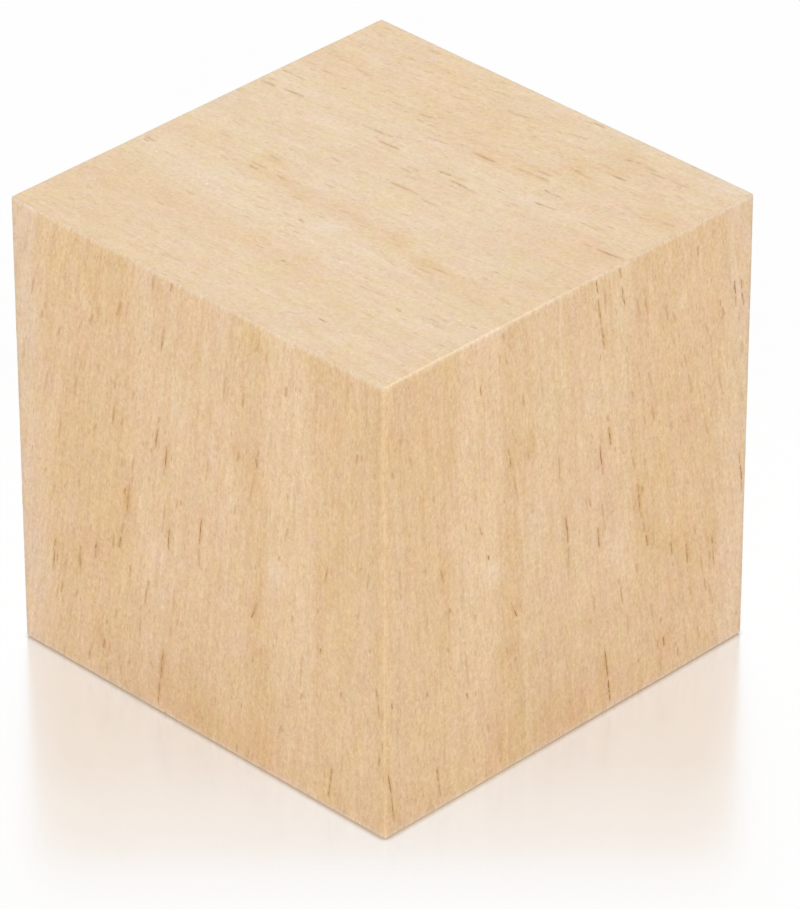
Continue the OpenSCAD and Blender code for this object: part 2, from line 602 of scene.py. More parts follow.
class Cut:
    """A long shallow cut in a face, from its head to its foot, in millimetres of the figure."""

    def __init__(self, face, head, foot, width, depth):
        self.face = face
        self.across, self.down = head
        self.length = foot[1] - head[1]
        self.lean = (foot[0] - head[0]) / self.length
        self.width = width
        self.depth = depth

    def across_at(self, down):
        """How far across it lies where it is this far down."""
        return self.across + self.lean * (down - self.down)

    def ends(self):
        """Its two ends on the face, in metres."""
        foot = self.down + self.length
        return self.face.place(self.across, self.down), self.face.place(self.across_at(foot), foot)

    def stretched(self, stretch, width, depth):
        """A cut along the same line, so many times as long."""
        spare = self.length * (stretch - 1) / 2
        head = self.down - spare
        foot = self.down + self.length + spare
        ends = (self.across_at(head), head), (self.across_at(foot), foot)
        return Cut(self.face, *ends, width, depth)

    def meets(self, other):
        """Whether it comes closer to another cut than the gap between two."""
        if self.face is not other.face:
            return False
        start = max(self.down, other.down) - CUT_GAP
        end = min(self.down + self.length, other.down + other.length) + CUT_GAP
        first = self.across_at(start) - other.across_at(start)
        last = self.across_at(end) - other.across_at(end)
        room = (self.width + other.width) / 2 + CUT_GAP
        crossing = first * last < 0
        return start < end and (crossing or min(abs(first), abs(last)) < room)


def spindle_mesh():
    """A ball with its poles along Y, that a cut is made with once it is drawn out."""
    ball = bmesh.new()
    lay = Matrix.Rotation(math.radians(90), 4, "X")
    bmesh.ops.create_uvsphere(
        ball, u_segments=SPINDLE_SIDES, v_segments=SPINDLE_STEPS, radius=1.0, matrix=lay
    )
    for vertex in ball.verts:
        fuller = 1 + SPINDLE_FULLNESS * vertex.co.y**2
        vertex.co.x *= fuller
        vertex.co.z *= fuller
    bmesh.ops.recalc_face_normals(ball, faces=ball.faces[:])
    mesh = bpy.data.meshes.new("spindle")
    ball.to_mesh(mesh)
    ball.free()
    return mesh


def add_spindle(cutter, spindle, cut):
    """Adds the spindle that makes a cut."""
    upper, lower = cut.ends()
    run = lower - upper
    along = run.normalized()
    aside = along.cross(cut.face.outward)
    turn = Matrix((aside, along, cut.face.outward)).transposed().to_4x4()
    size = Matrix.Diagonal((cut.width / 2 * MM, run.length / 2, cut.depth * MM, 1))
    shape = spindle.copy()
    shape.transform(Matrix.Translation((upper + lower) / 2) @ turn @ size)
    for vertex in shape.vertices:
        vertex.co += aside * wander(vertex.co, BEND_LENGTH, BEND_START) * BEND
    cutter.from_mesh(shape)
    bpy.data.meshes.remove(shape)


def line_cuts(settings):
    """The cuts of the vessel lines on all six faces: their troughs, and the lines in them."""
    draw = random.Random(settings.seed)
    troughs = []
    lines = []
    for face in FACES:
        for names, kind, width, depth, trough_width in LINE_KINDS:
            if face.name not in names:
                continue
            aside, along = LEVEL_OFFSET if face.name in LEVEL else (0.0, 0.0)
            for upper_across, upper_down, lower_across, lower_down in kind:
                head = upper_across + aside, upper_down + along
                foot = lower_across + aside, lower_down + along
                size = draw.uniform(1 - LINE_SPREAD, 1 + LINE_SPREAD)
                line = Cut(face, head, foot, width * size, depth * size)
                lines.append(line)
                troughs.append(line.stretched(TROUGH_STRETCH, trough_width, TROUGH_DEPTH))
    return troughs, lines


def apart(cuts):
    """The cuts in sets, so that no two of a set meet."""
    sets = []
    for cut in cuts:
        for each in sets:
            if not any(cut.meets(other) for other in each):
                each.append(cut)
                break
        else:
            sets.append([cut])
    return sets


def cutters(settings):
    """Bmeshes of spindles to cut the block with, one after another."""
    spindle = spindle_mesh()
    for cuts in line_cuts(settings):
        for each in apart(cuts):
            cutter = bmesh.new()
            for cut in each:
                add_spindle(cutter, spindle, cut)
            yield cutter
    bpy.data.meshes.remove(spindle)


def mesh_object(name, shape, materials):
    """Makes an object of a bmesh, and frees the bmesh."""
    mesh = bpy.data.meshes.new(name)
    shape.to_mesh(mesh)
    shape.free()
    for material in materials:
        mesh.materials.append(material)
    made = bpy.data.objects.new(name, mesh)
    bpy.context.scene.collection.objects.link(made)
    return made


def cut_away(block, cutter):
    """Cuts the cutter out of the block for good, and takes the cutter away."""
    cut = block.modifiers.new("Vessel lines", "BOOLEAN")
    cut.operation = "DIFFERENCE"
    cut.solver = "MANIFOLD"
    cut.object = cutter
    bpy.context.view_layer.update()
    done = block.evaluated_get(bpy.context.evaluated_depsgraph_get())
    mesh = bpy.data.meshes.new_from_object(done)
    block.modifiers.clear()
    uncut = block.data
    block.data = mesh
    mesh.name = block.name
    spindles = cutter.data
    bpy.data.objects.remove(cutter)
    bpy.data.meshes.remove(spindles)
    bpy.data.meshes.remove(uncut)


# The map that the finish is baked on: a tile for each face, in two rows of three, and
# the margin round the face on its tile
MAP_NAME = "OFBake"
MAP_COLUMNS = 3
TILE = 1 / MAP_COLUMNS
TILE_MARGIN = 0.004
TILE_ROWS = (0.0, 2 * TILE)


def lay_map(mesh):
    """Lays the six faces of the block out flat, each on its own tile."""
    layer = mesh.uv_layers.new(name=MAP_NAME)
    room = TILE - 2 * TILE_MARGIN
    for polygon in mesh.polygons:
        face = face_of(polygon.center)
        number = FACES.index(face)
        column = (number % MAP_COLUMNS) * TILE + TILE_MARGIN
        row = TILE_ROWS[number // MAP_COLUMNS] + TILE_MARGIN
        for corner in polygon.loop_indices:
            out = mesh.vertices[mesh.loops[corner].vertex_index].co - CENTRE
            across = out.dot(face.across) / SIZE.x + 0.5
            down = out.dot(face.down) / SIZE.x + 0.5
            layer.data[corner].uv = (column + room * across, row + room * down)


# ---------------------------------------------------------------------------
# Materials: places in the figure are in millimetres, and a colour's change is
# given as shares of its red, green and blue
# ---------------------------------------------------------------------------

# The tone of the bands across a side, from one edge at 0 to the other at 1
BAND_TONES = [
    (0.0, 0.48), (0.17, 0.48), (0.21, 0.82), (0.28, 0.80), (0.33, 0.44), (0.37, 0.50),
    (0.42, 0.64), (0.47, 0.56), (0.57, 0.58), (0.63, 0.70), (0.69, 0.42), (0.90, 0.44),
    (0.95, 0.60), (1.0, 0.52),
]
# How strong they are, and the share of that which the top and bottom lose
BAND_STRENGTH = 1.5
LEVEL_BAND_LOSS = 0.25
# How cool their colour is, and how cool plain wood is on the same scale
BAND_COOLNESS = [
    (0.0, 0.40), (0.025, 0.44), (0.04, 0.62), (0.07, 0.52), (0.11, 0.40), (0.17, 0.36),
    (0.22, 0.46), (0.34, 0.46), (0.39, 0.62), (0.62, 0.62), (0.68, 0.46), (0.88, 0.46),
    (0.92, 0.55), (1.0, 0.60),
]
PLAIN_COOLNESS = 0.56
# How wide the strip is that a band wanders in, the noise that it does so by, in marks per
# millimetre, and how many times longer than wide those marks are
BAND_WANDER = 1.6
BAND_NOISE = {"seed": 2.0, "scale": 0.25, "detail": 1.0}
BAND_STRETCH = 6.0
# Where down the figure its lower part begins and is full. The middle of that is darker:
# where across it begins, is full, ebbs and ends, and its tone.
LOWER = (19.0, 27.0)
MIDDLE = (4.0, 7.0, 18.5, 20.5)
LOWER_MIDDLE_TONE = -0.38
# Beyond it the lower part is cooler: where across that begins and is full, and how cool
FAR_SIDE = (19.0, 22.0)
LOWER_FAR_COOLNESS = 0.16
# The cool strip beside the last edge: where it begins and is full, how cool it is at its
# head, what it loses for each millimetre down, and the share that turned sides lose
LAST_STRIP = (27.4, 29.0)
LAST_COOLNESS = 0.85
LAST_COOLNESS_LOSS = 0.006
TURNED_COOLNESS_LOSS = 0.45
# How strong the top and bottom have the patches that are theirs alone
LEVEL_PATCH_STRENGTH = 0.6

# The layers of noise that the fibres are made of, each with its start, how much
# longer than wide its marks are, marks per millimetre, detail and roughness
FIBRE_LAYERS = {
    "blotches": (100, 4.0, 0.35, 1.0, 0.6),
    "streaks": (200, 5.0, 0.9, 1.0, 0.8),
    "strands": (300, 14.0, 3.6, 1.0, 0.7),
    "fibres": (400, 3.2, 2.2, 1.0, 1.0),
    "specks": (500, 1.8, 6.5, 1.0, 0.8),
    "blush": (600, 1.6, 0.45, 3.0, 1.0),
    "sallow": (700, 1.6, 0.45, 3.0, 1.0),
}
# The layers that aren't mirrored from one side to the next
OWN_LAYERS = ("strands", "fibres", "specks", "blush", "sallow")
# How far a layer's start moves on for a level face, and those layers' for a turned side
LEVEL_SEED = 10.0
TURNED_SEED = 20.0
# How many more marks there are along the grain of a level face, as a share
LEVEL_CROWDING = 0.5
# How strongly each layer moves the broad tone, and the fine one
BROAD_WEIGHTS = {"blotches": 0.38, "streaks": 0.93, "fibres": 0.5}
FINE_WEIGHTS = {"strands": 2.2, "fibres": 0.8, "specks": 4.2}

# The dashes that the stray fibres are: how far apart they are across and down, how far
# the longest reaches, and the start of their pattern
DARK_DASHES = ((0.42, 3.0, 0.16, 10.0), (0.30, 1.5, 0.20, 30.0))
PALE_DASHES = ((0.5, 1.2, 0.15, 50.0), (0.26, 0.8, 0.17, 70.0))
# The share of places that have a dark one, and that have a pale one, how much larger it
# is in the strip that is crowded with them, and where that begins, is full, ebbs and ends
DARK_SHARE = 0.3
DARK_CROWDING = 0.35
DARK_STRIP = (18.5, 20.5, 27.0, 28.5)
PALE_SHARE = 0.27
PALE_CROWDING = 0.45
PALE_STRIP = (5.8, 6.6, 7.1, 7.9)
# How strong the pale ones are outside their strip; they are twice that inside
PALE_STRENGTH = 0.9
# The least reach and strength of a dash, as shares of the most, and the share of its
# reach where it is full
LEAST_REACH = 0.4
LEAST_STRENGTH = 0.3
DASH_CORE = 0.2
# How far the patterns of level faces and of turned sides lie from those of the others
LEVEL_ASIDE = 100.0
TURNED_ASIDE = 200.0

# How a mark of full strength changes the colour, and how a fine one does on a level face
FINE = (0.092, 0.141, 0.168)
LEVEL_FINE = (0.065, 0.092, 0.138)
FLECK = (0.11, 0.17, 0.24)
STRAY = (-0.22, -0.28, -0.36)
STAIN = (-0.078, -0.118, -0.165)
COOL = (0.0, 0.045, 0.20)
BLUSH = (0.138, -0.064, 0.064)
SALLOW = (0.012, 0.042, -0.45)
# How much cooler paler wood is than its own colour says on a level face, and the share
# of that on a side
PALER = (-0.018, 0.003, 0.04)
SIDE_PALER = 0.3
# The painted sheen that makes the level faces look paler and flatter, as the light on them would: the
# colour that they are drawn towards, and how far they take it
LEVEL_SHEEN = (1.0, 0.97, 0.83, 1)
LEVEL_SHEEN_SHARE = 0.195

# How far the edge marks reach onto the faces and how they change the colour: the painted shade beside
# upright edges, the painted glint, the painted sheen of the level faces, the cooler bands along level
# edges, and the painted shade of the far edges
SHADE_REACH = 1.1
GLINT_REACH = 0.13
SHEEN_REACH = 0.4
COOL_EDGE_REACH = 0.7
FAR_EDGE_SHADE_REACH = 0.30
SHADE = (-0.022, -0.026, -0.050)
PAINTED_GLINT = (0.14, 0.14, 0.12)
FAR_EDGE_SHADE = (-0.05, -0.012, 0.03)
COOL_EDGE_STRENGTH = 1.1
# How ragged the edge marks are, by what noise, and the shares of that which the painted shade has, and
# the painted sheen and the cooler bands
RAGGED = 0.6
RAGGED_NOISE = {"seed": 3.0, "scale": 1.2, "detail": 2.0}
SHADE_RAGGED = 0.4
LEVEL_EDGE_RAGGED = 0.2
# Where the painted glint begins and is full: in reaches from the edge, and along Y
GLINT_FADE = (1.1, 0.6)
GLINT_RUN = (6.0, -6.0)
# How cool the band under the upper edges is, as a share of the band along the lower ones
UPPER_COOL_EDGE = 0.25

# The noise that a line is darker and paler by along its length, and its strength
LINE_NOISE = {"seed": 800, "scale": 3.0}
LINE_PATCHINESS = 2.2
# How strong the stain of a trough is on a level face, with 1 on a side
LEVEL_STAIN = 0.75
# How full a line is of its own colour at the most, and the usual share of that on a side
# and on a level face
FILL = 0.7
SIDE_FILL = 0.88
LEVEL_FILL = 0.72
# How strongly the fine fibres show in a line
LINE_FINE = 0.9
# How much less rough a raised fibre is
FIBRE_GLOSS = 0.06

# Noise is 0 at whole numbers, so flat places and seeds are kept off them by this much
OFF_GRID = 0.43


class Wiring:
    """Adds nodes to a tree and joins them, so that a chain of them reads like a sum."""

    def __init__(self, tree):
        self.tree = tree

    def node(self, kind, **settings):
        """A new node of a kind, with its settings."""
        made = self.tree.nodes.new(kind)
        for name, value in settings.items():
            setattr(made, name, value)
        return made

    def plug(self, value, socket):
        """Joins an output to a socket, or sets the socket to a plain value."""
        if isinstance(value, bpy.types.NodeSocket):
            self.tree.links.new(value, socket)
        else:
            socket.default_value = value

    def math(self, operation, *values, clamp=False):
        """The result of an operation on numbers."""
        made = self.node("ShaderNodeMath", operation=operation, use_clamp=clamp)
        for value, socket in zip(values, made.inputs):
            self.plug(value, socket)
        return made.outputs[0]

    def times(self, first, *others):
        """The product of numbers."""
        for other in others:
            first = self.math("MULTIPLY", first, other)
        return first

    def vector(self, operation, *values):
        """The result of an operation on vectors."""
        made = self.node("ShaderNodeVectorMath", operation=operation)
        for value, socket in zip(values, made.inputs):
            self.plug(value, socket)
        return made.outputs[0]

    def scaled(self, vector, scale):
        """A vector times a number."""
        made = self.node("ShaderNodeVectorMath", operation="SCALE")
        self.plug(vector, made.inputs[0])
        self.plug(scale, made.inputs["Scale"])
        return made.outputs[0]

    def lighter(self, colour, strength, shares):
        """A colour raised by those shares of its red, green and blue, times a strength."""
        steps = self.scaled(shares, strength)
        return self.vector("MULTIPLY_ADD", colour, steps, colour)

    def combine(self, across, down):
        """The flat place of two numbers."""
        made = self.node("ShaderNodeCombineXYZ")
        self.plug(across, made.inputs["X"])
        self.plug(down, made.inputs["Y"])
        return made.outputs[0]

    def separate(self, vector):
        """The three numbers of a vector."""
        made = self.node("ShaderNodeSeparateXYZ")
        self.plug(vector, made.inputs[0])
        return made.outputs

    def choose(self, factor, first, second):
        """first where factor is 0, second where it is 1."""
        made = self.node("ShaderNodeMix", data_type="FLOAT")
        self.plug(factor, made.inputs[0])
        self.plug(first, made.inputs[2])
        self.plug(second, made.inputs[3])
        return made.outputs[0]

    def blend(self, factor, first, second):
        """A mix of two colours."""
        made = self.node("ShaderNodeMix", data_type="RGBA")
        self.plug(factor, made.inputs[0])
        self.plug(first, made.inputs[6])
        self.plug(second, made.inputs[7])
        return made.outputs[2]

    def noise(self, place, seed, scale=1.0, detail=0.0, roughness=0.5):
        """Noise about 0, from about -0.5 to 0.5, for a flat place; a seed is a whole number."""
        made = self.node("ShaderNodeTexNoise", noise_dimensions="4D")
        off_grid = (0.0, 0.0, OFF_GRID)
        self.plug(self.vector("MULTIPLY_ADD", place, (scale, scale, 0.0), off_grid), made.inputs[0])
        self.plug(self.math("ADD", seed, OFF_GRID), made.inputs["W"])
        self.plug(1.0, made.inputs["Scale"])
        self.plug(detail, made.inputs["Detail"])
        self.plug(roughness, made.inputs["Roughness"])
        return self.math("SUBTRACT", made.outputs["Fac"], 0.5)

    def mixed(self, factor, first, second):
        """A mix of two shaders."""
        made = self.node("ShaderNodeMixShader")
        self.plug(factor, made.inputs[0])
        self.plug(first, made.inputs[1])
        self.plug(second, made.inputs[2])
        return made.outputs[0]

    def rise(self, value, start, end):
        """0 before start, 1 past end, and a smooth step between; end may be the lower one."""
        made = self.node("ShaderNodeMapRange", interpolation_type="SMOOTHSTEP")
        self.plug(value, made.inputs[0])
        self.plug(start, made.inputs[1])
        self.plug(end, made.inputs[2])
        return made.outputs[0]

    def between(self, value, start, full, ebb, end):
        """1 from full to ebb, 0 before start and past end, and smooth steps between."""
        return self.times(self.rise(value, start, full), self.rise(value, end, ebb))

    def curve(self, value, points):
        """A curve through points from 0 to 1."""
        made = self.node("ShaderNodeFloatCurve")
        line = made.mapping.curves[0]
        for x, y in points[1:-1]:
            line.points.new(x, y)
        line.points[0].location = points[0]
        line.points[-1].location = points[-1]
        made.mapping.update()
        self.plug(value, made.inputs[1])
        return made.outputs[0]

    def seen(self):
        """1 for a ray that shows what it meets, straight or by a gloss or glass, and else 0."""
        rays = self.node("ShaderNodeLightPath").outputs
        shown = self.math("MAXIMUM", rays["Is Camera Ray"], rays["Is Glossy Ray"])
        return self.math("MAXIMUM", shown, rays["Is Transmission Ray"])

    def group(self, tree, **inputs):
        """The outputs of a node group, placed with these inputs."""
        made = self.node("ShaderNodeGroup", node_tree=tree)
        for name, value in inputs.items():
            self.plug(value, made.inputs[name])
        return made.outputs


def clear_wiring(owner):
    """The wiring of a material or a world, cleared of what it starts with."""
    owner.use_nodes = True
    owner.node_tree.nodes.clear()
    return Wiring(owner.node_tree)


def new_group(name, inputs, outputs):
    """A node group: its wiring, the values that it is given, and the sockets that it fills.

    Position is a vector, and every other input and output is a number.
    """
    tree = bpy.data.node_groups.new(name, "ShaderNodeTree")
    for way, names in (("INPUT", inputs), ("OUTPUT", outputs)):
        for socket in names:
            kind = "NodeSocketVector" if socket == "Position" else "NodeSocketFloat"
            tree.interface.new_socket(name=socket, in_out=way, socket_type=kind)
    wiring = Wiring(tree)
    taken = wiring.node("NodeGroupInput").outputs
    given = wiring.node("NodeGroupOutput").inputs
    return wiring, taken, given


# The inputs of a group that works from a place in the figure
PLACE_SOCKETS = ("Across", "Down", "Level", "Turned")


def from_middle(w, position):
    """A place from the block's middle, in millimetres."""
    return w.scaled(w.vector("SUBTRACT", position, tuple(CENTRE)), 1 / MM)


def figure_group():
    """Where a point lies in the figure, whether its face is level, whether it lies further
    out along X than along Y, and how near it is to an edge."""
    w, taken, given = new_group(
        "Wood figure", ("Position",), ("Across", "Down", "Level", "Turned", "Edge")
    )
    half = FACE_MM / 2
    point = from_middle(w, taken["Position"])
    x, y, z = w.separate(point)
    size_x, size_y, size_z = w.separate(w.vector("ABSOLUTE", point))
    sign_x, sign_y, sign_z = w.separate(w.vector("SIGN", point))
    widest_side = w.math("MAXIMUM", size_x, size_y)
    on_level = w.math("GREATER_THAN", size_z, widest_side)
    on_x = w.math("GREATER_THAN", size_x, size_y)

    across_x = w.times(sign_x, y)
    across_y = w.times(sign_y, x)
    down_x = w.times(sign_x, z, -1.0)
    down_y = w.times(sign_y, z)
    side_across = w.math("ADD", w.choose(on_x, across_y, across_x), half)
    side_down = w.math("ADD", w.choose(on_x, down_y, down_x), half)

    level_across = w.math("ADD", w.times(sign_z, y), half)
    level_along = w.math("ADD", w.times(sign_z, x), half)
    level_down = w.math("DIVIDE", w.math("ADD", level_along, TOP_START), TOP_STRETCH)
    shear = w.times(level_down, TOP_SHEAR)
    level_figure = w.math("ADD", w.math("SUBTRACT", level_across, TOP_SHIFT), shear)

    w.plug(w.choose(on_level, side_across, level_figure), given["Across"])
    w.plug(w.choose(on_level, side_down, level_down), given["Down"])
    w.plug(on_level, given["Level"])
    w.plug(on_x, given["Turned"])

    # The second largest of the three sizes says how near the closest edge is
    smaller_side = w.math("MINIMUM", size_x, size_y)
    second = w.math("MAXIMUM", smaller_side, w.math("MINIMUM", widest_side, size_z))
    w.plug(w.math("SUBTRACT", half, second), given["Edge"])
    return w.tree


def patch(w, place, across, down, half_width, half_length):
    """1 in the middle of a soft patch, and less the further a place is from it."""
    off = w.vector("SUBTRACT", place, (across, down, 0))
    off = w.vector("DIVIDE", off, (half_width, half_length, 1))
    away = w.node("ShaderNodeVectorMath", operation="DOT_PRODUCT")
    w.plug(off, away.inputs[0])
    w.plug(off, away.inputs[1])
    return w.math("EXPONENT", w.times(away.outputs["Value"], -1.0))


def band_group():
    """The broad bands and soft patches of the figure: tone and coolness, each about 0."""
    w, taken, given = new_group("Growth bands", PLACE_SOCKETS, ("Tone", "Coolness"))
    place = w.combine(taken["Across"], w.math("DIVIDE", taken["Down"], BAND_STRETCH))
    drift = w.noise(place, **BAND_NOISE)
    across = w.math("MULTIPLY_ADD", drift, BAND_WANDER, taken["Across"])
    across = w.math("DIVIDE", across, FACE_MM)
    tone = w.curve(across, BAND_TONES)
    tone = w.math("MULTIPLY_ADD", tone, BAND_STRENGTH, -BAND_STRENGTH / 2)
    kept = w.math("MULTIPLY_ADD", taken["Level"], -LEVEL_BAND_LOSS, 1.0)
    tone = w.times(tone, kept)
    lower = w.rise(taken["Down"], *LOWER)
    middle = w.between(taken["Across"], *MIDDLE)
    tone = w.math("MULTIPLY_ADD", w.times(middle, lower), LOWER_MIDDLE_TONE, tone)
    place = w.combine(taken["Across"], taken["Down"])
    for across_at, down_at, half_width, half_length, strength in PATCHES:
        fade = patch(w, place, across_at, down_at, half_width, half_length)
        tone = w.math("MULTIPLY_ADD", fade, strength, tone)
    extra = 0.0
    for from_front, from_left, half_width, half_length, strength in LEVEL_PATCHES:
        down_at = (from_left + TOP_START) / TOP_STRETCH
        across_at = from_front - TOP_SHIFT + TOP_SHEAR * down_at
        fade = patch(w, place, across_at, down_at, half_width, half_length)
        extra = w.math("MULTIPLY_ADD", fade, strength, extra)
    share = w.times(taken["Level"], LEVEL_PATCH_STRENGTH)
    w.plug(w.math("MULTIPLY_ADD", extra, share, tone), given["Tone"])

    coolness = w.math("SUBTRACT", w.curve(across, BAND_COOLNESS), PLAIN_COOLNESS)
    far = w.times(w.rise(taken["Across"], *FAR_SIDE), lower)
    coolness = w.math("MULTIPLY_ADD", far, LOWER_FAR_COOLNESS, coolness)
    last = w.math("MULTIPLY_ADD", taken["Down"], -LAST_COOLNESS_LOSS, LAST_COOLNESS)
    last = w.times(last, w.rise(taken["Across"], *LAST_STRIP))
    kept = w.math("MULTIPLY_ADD", taken["Turned"], -TURNED_COOLNESS_LOSS, 1.0)
    w.plug(w.math("MULTIPLY_ADD", last, kept, coolness), given["Coolness"])
    return w.tree


def fibre_group():
    """The fibres of sanded wood: broad and fine tone, and two shifts of hue, each about 0."""
    w, taken, given = new_group("Wood fibres", PLACE_SOCKETS, ("Tone", "Fine", "Blush", "Sallow"))
    across = w.math("MULTIPLY_ADD", taken["Down"], -FIBRE_LEAN, taken["Across"])
    across = w.math("DIVIDE", across, w.math("MULTIPLY_ADD", taken["Down"], FIBRE_SPREAD, 1.0))
    crowding = w.math("MULTIPLY_ADD", taken["Level"], LEVEL_CROWDING, 1.0)
    down = w.times(taken["Down"], crowding)
    made = {}
    for name, (start, stretch, scale, detail, roughness) in FIBRE_LAYERS.items():
        place = w.combine(across, w.math("DIVIDE", down, stretch))
        seed = w.math("MULTIPLY_ADD", taken["Level"], LEVEL_SEED, start)
        if name in OWN_LAYERS:
            seed = w.math("MULTIPLY_ADD", taken["Turned"], TURNED_SEED, seed)
        made[name] = w.noise(place, seed, scale, detail, roughness)
    for output, weights in (("Tone", BROAD_WEIGHTS), ("Fine", FINE_WEIGHTS)):
        total = 0.0
        for name, weight in weights.items():
            total = w.math("MULTIPLY_ADD", made[name], weight, total)
        w.plug(total, given[output])
    w.plug(made["blush"], given["Blush"])
    w.plug(made["sallow"], given["Sallow"])
    return w.tree


def dashes(w, taken, share, cell_across, cell_down, reach, start):
    """Leaning dashes, each from 0 to 1, in that share of the cells that they are set out in."""
    aside = w.math("MULTIPLY_ADD", taken["Level"], LEVEL_ASIDE, start)
    aside = w.math("MULTIPLY_ADD", taken["Turned"], TURNED_ASIDE, aside)
    across = w.math("MULTIPLY_ADD", taken["Down"], -LEAN, taken["Across"])
    place = w.combine(
        w.math("DIVIDE", across, cell_across),
        w.math("ADD", w.math("DIVIDE", taken["Down"], cell_down), aside),
    )
    cells = w.node("ShaderNodeTexVoronoi", voronoi_dimensions="2D")
    w.plug(place, cells.inputs["Vector"])
    w.plug(1.0, cells.inputs["Scale"])
    chance, length, strength = w.separate(cells.outputs["Color"])
    there = w.math("LESS_THAN", chance, share)
    size = w.times(w.math("MULTIPLY_ADD", length, 1 - LEAST_REACH, LEAST_REACH), reach)
    away = w.math("DIVIDE", cells.outputs["Distance"], size)
    shape = w.math("SUBTRACT", 1.0, w.rise(away, DASH_CORE, 1.0))
    strength = w.math("MULTIPLY_ADD", strength, 1 - LEAST_STRENGTH, LEAST_STRENGTH)
    return w.times(shape, strength, there)


def stray_group():
    """Stray fibres that stand out, dark ones from 0 to 1 and pale ones from 0 to 2."""
    w, taken, given = new_group("Stray fibres", PLACE_SOCKETS, ("Dark", "Pale"))
    crowded = w.between(taken["Across"], *DARK_STRIP)
    share = w.math("MULTIPLY_ADD", crowded, DARK_CROWDING, DARK_SHARE)
    long, short = (dashes(w, taken, share, *kind) for kind in DARK_DASHES)
    w.plug(w.math("MAXIMUM", long, short), given["Dark"])

    crowded = w.between(taken["Across"], *PALE_STRIP)
    share = w.math("MULTIPLY_ADD", crowded, PALE_CROWDING, PALE_SHARE)
    wide, narrow = (dashes(w, taken, share, *kind) for kind in PALE_DASHES)
    strength = w.math("MULTIPLY_ADD", crowded, PALE_STRENGTH, PALE_STRENGTH)
    w.plug(w.times(w.math("MAXIMUM", wide, narrow), strength), given["Pale"])
    return w.tree


def edge_group():
    """Marks of the edges, from 0 to 1: painted shade beside the upright ones, a painted glint and a
    cooler band along the level ones, a painted sheen over the level faces, and painted shade along the
    far edges."""
    w, taken, given = new_group(
        "Edge marks and painted light",
        ("Position", "Across", "Down", "Edge"),
        ("Shade", "Painted glint", "Cast", "Cool edge", "Far edge shade"),
    )
    half = FACE_MM / 2
    point = from_middle(w, taken["Position"])
    x, y, z = w.separate(point)
    size_x, size_y, size_z = w.separate(w.vector("ABSOLUTE", point))
    widest_side = w.math("MAXIMUM", size_x, size_y)
    on_side = w.math("LESS_THAN", size_z, widest_side)
    turned = w.math("GREATER_THAN", size_x, size_y)
    place = w.combine(taken["Across"], taken["Down"])
    ragged = w.noise(place, **RAGGED_NOISE)
    ragged = w.times(ragged, RAGGED)

    # Painted shade: a darker band beside one upright edge of the front and of the back
    from_edge = w.math("MULTIPLY_ADD", ragged, SHADE_RAGGED, taken["Across"])
    shade = w.rise(from_edge, SHADE_REACH, SHADE_REACH / 2)
    w.plug(w.times(shade, on_side, w.math("SUBTRACT", 1.0, turned)), given["Shade"])

    # A painted glint: a bright line along the level edges of the right and left, towards the front
    reach = w.math("ADD", w.math("DIVIDE", taken["Edge"], GLINT_REACH), ragged)
    level = w.math("GREATER_THAN", size_z, w.math("MINIMUM", size_x, size_y))
    painted_glint = w.times(w.rise(reach, *GLINT_FADE), level, turned, w.rise(y, *GLINT_RUN))
    w.plug(painted_glint, given["Painted glint"])

    # A painted sheen over the level faces, reaching a little way down the sides
    over = w.math("SUBTRACT", size_z, widest_side)
    painted_sheen = w.rise(w.math("MULTIPLY_ADD", ragged, LEVEL_EDGE_RAGGED, over), -SHEEN_REACH, 0.0)
    w.plug(painted_sheen, given["Cast"])

    # Cooler along the lower edges of the sides, and a little under the upper ones
    height = w.math("MULTIPLY_ADD", ragged, LEVEL_EDGE_RAGGED, w.math("ADD", z, half))
    foot = w.rise(height, COOL_EDGE_REACH, 0.0)
    head = w.times(w.rise(over, -COOL_EDGE_REACH, 0.0), w.rise(z, 0.0, half))
    cool_edge = w.times(w.math("MULTIPLY_ADD", head, UPPER_COOL_EDGE, foot), on_side)
    w.plug(cool_edge, given["Cool edge"])

    # Painted shade: a greyer, darker line along the far edges
    away = w.math("MAXIMUM", w.times(x, -1.0), y)
    away = w.math("GREATER_THAN", away, half - 2 * FAR_EDGE_SHADE_REACH)
    far_edge_shade = w.rise(taken["Edge"], FAR_EDGE_SHADE_REACH, FAR_EDGE_SHADE_REACH / 2)
    w.plug(w.times(far_edge_shade, away), given["Far edge shade"])
    return w.tree


def line_colour(w, figure, fibres, colour, inside):
    """The colour in a line: the wood's own, stained in the trough, and darker inside."""
    depth = w.node("ShaderNodeAttribute", attribute_name=DEPTH).outputs["Fac"]
    sunk = w.rise(depth, 0.0, TROUGH_DEPTH)
    stained = w.times(sunk, w.choose(figure["Level"], 1.0, LEVEL_STAIN))
    colour = w.lighter(colour, stained, STAIN)
    filled = w.times(w.rise(depth, TROUGH_DEPTH, FULL_DEPTH), FILL)
    patchy = w.noise(w.combine(figure["Across"], figure["Down"]), **LINE_NOISE)
    usual = w.choose(figure["Level"], SIDE_FILL, LEVEL_FILL)
    patchy = w.math("MULTIPLY_ADD", patchy, LINE_PATCHINESS, usual)
    patchy = w.math("MULTIPLY_ADD", fibres["Fine"], LINE_FINE, patchy)
    filled = w.math("MULTIPLY", filled, patchy, clamp=True)
    return w.blend(filled, colour, inside)


